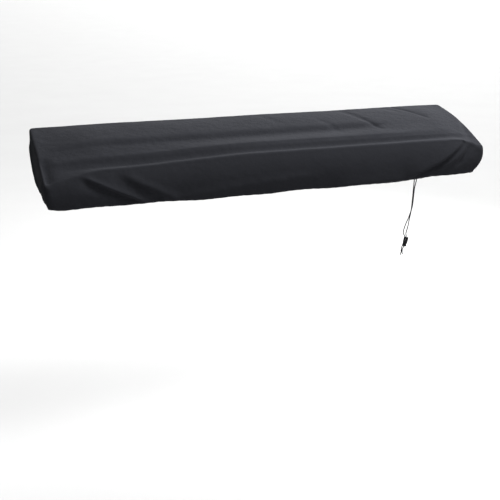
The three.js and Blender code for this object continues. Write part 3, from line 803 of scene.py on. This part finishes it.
def all_folds(points, normals):
    """Sum of the folds: top folds count by how level the cloth is, and a wall's by how it faces."""
    x, y, z = points.T
    lift = sum(fold_lift(fold, x, y) for fold in TOP_FOLDS) * normals[:, 2] ** 2
    for side, folds in WALL_FOLDS.items():
        wall = WALLS[side]
        facing = np.maximum(0, wall.sign * normals[:, wall.facing]) ** 2
        lift += facing * sum(fold_lift(fold, points[:, wall.along], z) for fold in folds)
    return lift


folds = all_folds(bare, normals)
print("folds from", round(folds.min(), 1), "to", round(folds.max(), 1), "mm")

# %% [markdown]
# Between the named folds real cloth is never quite flat. A few long waves with seeded phases make it
# uneven, and short ripples gather along the hem, where the cord shortens the edge. A Displace modifier
# could do the first, but here all the moves are added up and made at once, along the cloth's normals.
# Solidify then gives the sheet its thickness inwards.

# %% Add the unevenness and hang the sheet
UNEVEN = 0.7
UNEVEN_LENGTHS = (210, 130, 83, 57)
UNEVEN_WAYS = (0.6, 1, 1)
UNEVEN_SEED = 11
GATHER_HIGH = 0.35
GATHER_LENGTH = 33
GATHER_REACH = 22
GATHER_DRIFTS = ((2, 61), (1, 23))
CLOTH_THICK = 1.6


def unevenness(points):
    """Waves with set lengths and drawn directions and phases, the shorter the lower."""
    draw = np.random.default_rng(UNEVEN_SEED)
    total = np.zeros(len(points))
    for length in UNEVEN_LENGTHS:
        way = unit(draw.normal(size=(3, 3)) * UNEVEN_WAYS)
        phase = draw.uniform(0, 2 * pi, 3)
        total += np.sin(2 * pi * points @ way.T / length + phase).mean(1) * length / UNEVEN_LENGTHS[0]
    return UNEVEN * total


def hem_gathers():
    """Ripples round the hem: a sine of the distance round it whose phase drifts by two slower sines,
    under a bell of the height over the hem. The top has none."""
    round_hem = path_lengths(feet + ways * CORNER_RADIUS)
    drift = sum(much * np.sin(round_hem / length) for much, length in GATHER_DRIFTS)
    ripple = np.sin(2 * pi * round_hem / GATHER_LENGTH + drift)
    near = np.exp(-((skirt[..., 2] / GATHER_REACH) ** 2))
    return np.append(np.zeros(len(top)), (GATHER_HIGH * ripple * near).ravel())


def flat_layout():
    """Where each point was before it was sewn, in metres: the top as it lies, and the skirt out from
    the rim by its own length."""
    runs = np.concatenate([top[rim][None], skirt])
    fall = np.cumsum(np.linalg.norm(np.diff(runs, axis=0), axis=-1), axis=0)
    around = feet + ways * fall[..., None]
    return MM * np.concatenate([np.stack([grid_x, grid_y], -1).reshape(-1, 2), around.reshape(-1, 2)])


hung = bare + normals * (folds + unevenness(bare) + hem_gathers())[:, None]
flat = flat_layout()
corner_uv = np.concatenate([flat[quads].reshape(-1, 2), flat[triangles].reshape(-1, 2)])
cover = make_piece("piano_cover", (hung, [quads, triangles], corner_uv))
thicken = cover.modifiers.new("thickness", "SOLIDIFY")
thicken.thickness = CLOTH_THICK * MM
thicken.offset = -1
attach(cover, "cover")
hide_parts("cover_cloth")
area = sum(face.area for face in cover.data.polygons)
print("sheet of", round(area, 3), "square metres")

# %% [markdown]
# A finish is a tree of shader nodes. The class below wraps one output socket so that shader maths can
# be written as ordinary expressions: each operator adds a Math node, and one method adds any other.

# %% Define the wires of a node tree
class Wire:
    """An output socket of a node tree, with Python's operators."""

    def __init__(self, socket):
        self.socket = socket

    @classmethod
    def node(cls, tree, kind, settings=None, inputs=None, output=0):
        """Adds a node, sets its settings, then gives its sockets values or links."""
        node = tree.nodes.new(kind)
        for name, value in (settings or {}).items():
            setattr(node, name, value)
        for key, value in (inputs or {}).items():
            if isinstance(value, Wire):
                tree.links.new(value.socket, node.inputs[key])
            else:
                node.inputs[key].default_value = value
        return cls(node.outputs[output])

    def other(self, output):
        """Another output of the same node."""
        return Wire(self.socket.node.outputs[output])

    def math(self, operation, *values):
        """A Math node of this wire's tree, on wires or numbers."""
        inputs = dict(enumerate(values))
        return Wire.node(self.socket.id_data, "ShaderNodeMath", {"operation": operation}, inputs)

    def __add__(self, other):
        return self.math("ADD", self, other)

    def __radd__(self, other):
        return self.math("ADD", other, self)

    def __sub__(self, other):
        return self.math("SUBTRACT", self, other)

    def __rsub__(self, other):
        return self.math("SUBTRACT", other, self)

    def __mul__(self, other):
        return self.math("MULTIPLY", self, other)

    def __rmul__(self, other):
        return self.math("MULTIPLY", other, self)

    def __truediv__(self, other):
        return self.math("DIVIDE", self, other)

    def __abs__(self):
        return self.math("ABSOLUTE", self)

    def sine(self):
        return self.math("SINE", self)

    def fraction(self):
        return self.math("FRACT", self)


print("operators ready:", [name for name in vars(Wire) if name.startswith("__r")])

# %% [markdown]
# Every finish starts from Blender's Principled shader. What is the same all over is set on its own
# sockets. What varies comes in by wires: noise in the object's own coordinates, a colour between two,
# and a bump for relief that is too fine to model.

# %% Define what the finishes share
PRINCIPLED = "Principled BSDF"
MIX_SHARE, MIX_FIRST, MIX_SECOND, MIX_RESULT = 0, 6, 7, 2


def blank_finish(name, **constants):
    """A material, its tree and its shader, with the sockets that stay the same all over set."""
    material = bpy.data.materials.new(name)
    material.use_nodes = True
    shader = material.node_tree.nodes[PRINCIPLED]
    for socket, value in constants.items():
        shader.inputs[socket.replace("_", " ").title().replace("Ior", "IOR")].default_value = value
    return material, material.node_tree, shader


def object_place(tree):
    """Coordinates in metres in the object's own frame."""
    return Wire.node(tree, "ShaderNodeTexCoord", output="Object")


def flat_place(tree):
    """The piece's own UV map, with U first and V as its other output Y."""
    uv = Wire.node(tree, "ShaderNodeUVMap", {"uv_map": "flat"})
    return Wire.node(tree, "ShaderNodeSeparateXYZ", None, {0: uv})


def noise(tree, place, scale, detail):
    """Noise from 0 to 1 with so many cells to a metre, in so many finer and finer layers."""
    inputs = {"Vector": place, "Scale": scale, "Detail": detail}
    return Wire.node(tree, "ShaderNodeTexNoise", None, inputs)


def colour_between(tree, share, first, second):
    """The colour a share of the way from the first to the second."""
    inputs = {MIX_SHARE: share, MIX_FIRST: (*first, 1), MIX_SECOND: (*second, 1)}
    return Wire.node(tree, "ShaderNodeMix", {"data_type": "RGBA"}, inputs, MIX_RESULT)


def bump(tree, height, strength, distance, normal=None):
    """A normal tilted by the slope of a height, on top of another bump's normal if there is one."""
    inputs = {"Height": height, "Strength": strength, "Distance": distance}
    if normal:
        inputs["Normal"] = normal
    return Wire.node(tree, "ShaderNodeBump", None, inputs)


def plug(tree, shader, **wires):
    """Links wires to the shader's sockets that may vary."""
    for socket, wire in wires.items():
        tree.links.new(wire.socket, shader.inputs[socket.replace("_", " ").title()])


print("every finish starts from", PRINCIPLED)

# %% [markdown]
# The cloth is a fine jersey: columns of small loops, each a V, about a millimetre across. Such loops
# are too many to model, so they are a bump that follows the sheet's own flat layout and bends over the
# edges with the cloth. A broader bump rumples it. Its charcoal colour is a little uneven, and a weak
# sheen lightens what is seen edge on.

# %% Finish the cloth
WALE = 0.0011
COURSE = 0.0009
LOOP_RELIEF = 0.3
DARK_YARN = (0.0137, 0.0142, 0.0166)
PALE_YARN = (0.0190, 0.0197, 0.0230)
PATCHES = {"scale": 7.0, "detail": 4.0}
FIBRES = {"scale": 700.0, "detail": 2.0}
RUMPLES = {"scale": 55.0, "detail": 4.0}
PATCH_SHARE = 0.7
CLOTH_ROUGHNESS = {"least": 0.56, "patches": 0.14, "fibres": 0.1}
RUMPLE_BUMP = {"strength": 0.5, "distance": 0.004}
KNIT_BUMP = {"strength": 0.35, "distance": 0.0002}


def knit_height(tree):
    """Loops of a jersey: a column's round crown, times a sine along it whose phase makes a V."""
    u = flat_place(tree)
    column = (u / WALE).fraction()
    vee = abs(column - 0.5)
    loop = ((u.other("Y") / COURSE + vee) * (2 * pi)).sine()
    return (column * pi).sine() * ((1 - LOOP_RELIEF) + LOOP_RELIEF * loop)


def cloth_finish():
    """Jersey: colour and roughness from patches and fibres, and relief from rumples and the knit."""
    material, tree, shader = blank_finish(
        "stretch_jersey", sheen_weight=0.02, sheen_roughness=0.4, specular_ior_level=0.0
    )
    place = object_place(tree)
    patches = noise(tree, place, **PATCHES)
    fibres = noise(tree, place, **FIBRES)
    share = PATCH_SHARE * patches + (1 - PATCH_SHARE) * fibres
    uneven = CLOTH_ROUGHNESS["patches"] * patches + CLOTH_ROUGHNESS["fibres"] * fibres
    rumple = bump(tree, noise(tree, place, **RUMPLES), **RUMPLE_BUMP)
    plug(
        tree,
        shader,
        base_color=colour_between(tree, share, DARK_YARN, PALE_YARN),
        roughness=CLOTH_ROUGHNESS["least"] + uneven,
        normal=bump(tree, knit_height(tree), normal=rumple, **KNIT_BUMP),
    )
    return material


cover.data.materials.append(cloth_finish())
print(cover.name, "is", cover.data.materials[0].name)

# %% [markdown]
# The cord is a deeper black than the cloth, and its yarns run round it in two slants. The lock is
# moulded plastic: a fine satin grain, and a faint paler bloom where it is handled. Both are small in
# the picture, so a few layers of noise are enough.

# %% Finish the cord and the lock
YARNS_IN_BUNDLE = 3
DARK_CORD = (0.004, 0.004, 0.0045)
PALE_CORD = (0.010, 0.010, 0.011)
FUZZ = {"scale": 1500.0, "detail": 2.0}
FUZZ_SHARE = 0.6
YARN_SHARE = 0.2
CORD_ROUGHNESS = {"least": 0.6, "fuzz": 0.2}
CORD_BUMP = {"strength": 0.5, "distance": 0.0001}
DARK_PLASTIC = (0.004, 0.004, 0.0045)
PALE_PLASTIC = (0.009, 0.009, 0.010)
GRAIN = {"scale": 2600.0, "detail": 2.0}
BLOOM = {"scale": 160.0, "detail": 3.0}
PLASTIC_ROUGHNESS = {"least": 0.46, "bloom": 0.16}
GRAIN_BUMP = {"strength": 0.25, "distance": 0.00006}


def cord_finish():
    """Braid: the product of two slanting sines for the yarns, with fuzz over it."""
    material, tree, shader = blank_finish("braided_cord", sheen_weight=0.03, specular_ior_level=0.12)
    turn = flat_place(tree)
    climb = turn.other("Y") / BRAID_PITCH
    rising = ((turn * BRAID_BUNDLES + climb) * (2 * pi * YARNS_IN_BUNDLE)).sine()
    falling = ((turn * BRAID_BUNDLES - climb) * (2 * pi * YARNS_IN_BUNDLE)).sine()
    yarns = rising * falling
    fuzz = noise(tree, object_place(tree), **FUZZ)
    share = fuzz * FUZZ_SHARE + yarns * YARN_SHARE + YARN_SHARE
    plug(
        tree,
        shader,
        base_color=colour_between(tree, share, DARK_CORD, PALE_CORD),
        roughness=CORD_ROUGHNESS["least"] + CORD_ROUGHNESS["fuzz"] * fuzz,
        normal=bump(tree, yarns + fuzz, **CORD_BUMP),
    )
    return material


def plastic_finish():
    """Moulded plastic: colour and roughness from the bloom, and relief from the grain."""
    material, tree, shader = blank_finish("lock_moulding", specular_ior_level=0.06)
    place = object_place(tree)
    bloom = noise(tree, place, **BLOOM)
    plug(
        tree,
        shader,
        base_color=colour_between(tree, bloom, DARK_PLASTIC, PALE_PLASTIC),
        roughness=PLASTIC_ROUGHNESS["least"] + PLASTIC_ROUGHNESS["bloom"] * bloom,
        normal=bump(tree, noise(tree, place, **GRAIN), **GRAIN_BUMP),
    )
    return material


cord_material = cord_finish()
plastic_material = plastic_finish()
for piece in [knot] + [strand for strand, _ in strands.values()]:
    piece.data.materials.append(cord_material)
for piece in (barrel, button):
    piece.data.materials.clear()
    piece.data.materials.append(plastic_material)
print("finished", cord_material.name, "and", plastic_material.name)

# %% [markdown]
# The studio is a wide pale floor, well below the cover because the cover hangs in the air here. It is
# only mid grey, so that it throws little light up on the walls. The lamps are strong enough to make
# it white in the picture, as the photograph's ground is.

# %% Lay the studio floor
FLOOR_DROP = 0.72
FLOOR_REACH = 60
FLOOR_SHADE = 0.36
FLOOR_SPECKLE = 0.01
SPECKLES = {"scale": 3.0, "detail": 3.0}

floor_z = (hem_level(0) - MOUNT_HEIGHT) * MM - FLOOR_DROP
corners = np.array([[-1, -1], [1, -1], [1, 1], [-1, 1]]) * FLOOR_REACH / MM
floor_points = np.column_stack([corners, np.full(4, floor_z / MM + MOUNT_HEIGHT)])
floor = make_piece("studio_floor", (floor_points, [np.array([[0, 1, 2, 3]])], np.zeros((4, 2))))
material, tree, shader = blank_finish("pale_floor", roughness=0.9, specular_ior_level=0.1)
darker = 3 * (FLOOR_SHADE - FLOOR_SPECKLE,)
paler = 3 * (FLOOR_SHADE + FLOOR_SPECKLE,)
speckle = noise(tree, object_place(tree), **SPECKLES)
plug(tree, shader, base_color=colour_between(tree, speckle, darker, paler))
floor.data.materials.append(material)
floor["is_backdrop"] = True
print("floor at", round(floor_z, 3), "m")

# %% [markdown]
# The light comes from a dim sky with three soft glows: a broad one overhead, a narrow strong one low
# behind the cover, which grazes the top and shows its folds, and a weak one from the right. A picture
# of a studio could light the scene instead, but three powers of a direction are enough. The camera
# itself sees the sky as plain white, so that the thin cord still shows in front of a glow.

# %% Light the sky
SKY_RIM = 0.02
SKY_SEEN = 1.0
Glow = namedtuple("Glow", "way narrow bright")
SKY_GLOWS = [
    Glow((0.3, -0.25, 0.92), 4, 1.6),
    Glow((0.45, 0.8, 0.3), 12, 28.0),
    Glow((0.9, -0.4, 0.4), 6, 2.1),
]

world = bpy.data.worlds.new("studio_sky")
world.use_nodes = True
bpy.context.scene.world = world
tree = world.node_tree
direction = Wire.node(tree, "ShaderNodeTexCoord", output="Generated")


def lobe(way, narrow):
    """A power of how far a direction faces one way, and nothing behind it."""
    inputs = {0: direction, 1: unit(way)}
    facing = Wire.node(tree, "ShaderNodeVectorMath", {"operation": "DOT_PRODUCT"}, inputs, "Value")
    return facing.math("POWER", facing.math("MAXIMUM", facing, 0.0), narrow)


light = SKY_RIM + sum(glow.bright * lobe(glow.way, glow.narrow) for glow in SKY_GLOWS)
seen = Wire.node(tree, "ShaderNodeLightPath", output="Is Camera Ray")
strength = seen * SKY_SEEN + (1.0 - seen) * light
background = tree.nodes["Background"]
tree.links.new(strength.socket, background.inputs["Strength"])
background.inputs["Color"].default_value = (1, 1, 1, 1)
print("sky with", len(SKY_GLOWS), "glows")

# %% [markdown]
# Two broad lamps at the right add what the sky lacks: one low behind, which brightens the edges of
# the folds, and one high in front, which lifts the front wall. They are area lamps, because a large
# lamp near the cover gives soft shadows.

# %% Hang the lamps
Lamp = namedtuple("Lamp", "name at target size power")
LAMPS = [
    Lamp("back_lamp", (1.5, 0.9, 0.8), (0.3, 0.0, 0.0), (1.2, 0.8), 82),
    Lamp("front_lamp", (0.9, -0.45, 1.8), (0.4, 0.0, 0.0), (0.8, 0.8), 62),
]
for name, at, target, size, power in LAMPS:
    lamp = bpy.data.objects.new(name, bpy.data.lights.new(name, "AREA"))
    lamp.data.shape = "RECTANGLE"
    lamp.data.size, lamp.data.size_y = size
    lamp.data.energy = power
    lamp.location = at
    lamp.rotation_euler = (Vector(target) - Vector(at)).to_track_quat("-Z", "Y").to_euler()
    bpy.context.collection.objects.link(lamp)
bpy.context.scene.view_settings.view_transform = "Standard"
print("hung", len(LAMPS), "lamps")

# %% [markdown]
# Last, the box of the dressed object is set beside the box of the bare frame, and how far it has
# grown is printed.

# %% Compare the sizes
VISUAL_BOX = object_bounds()
grown = (np.array(VISUAL_BOX) - np.array(CAD_BOX)) / MM
print("grown by", grown.round(1).tolist(), "mm")
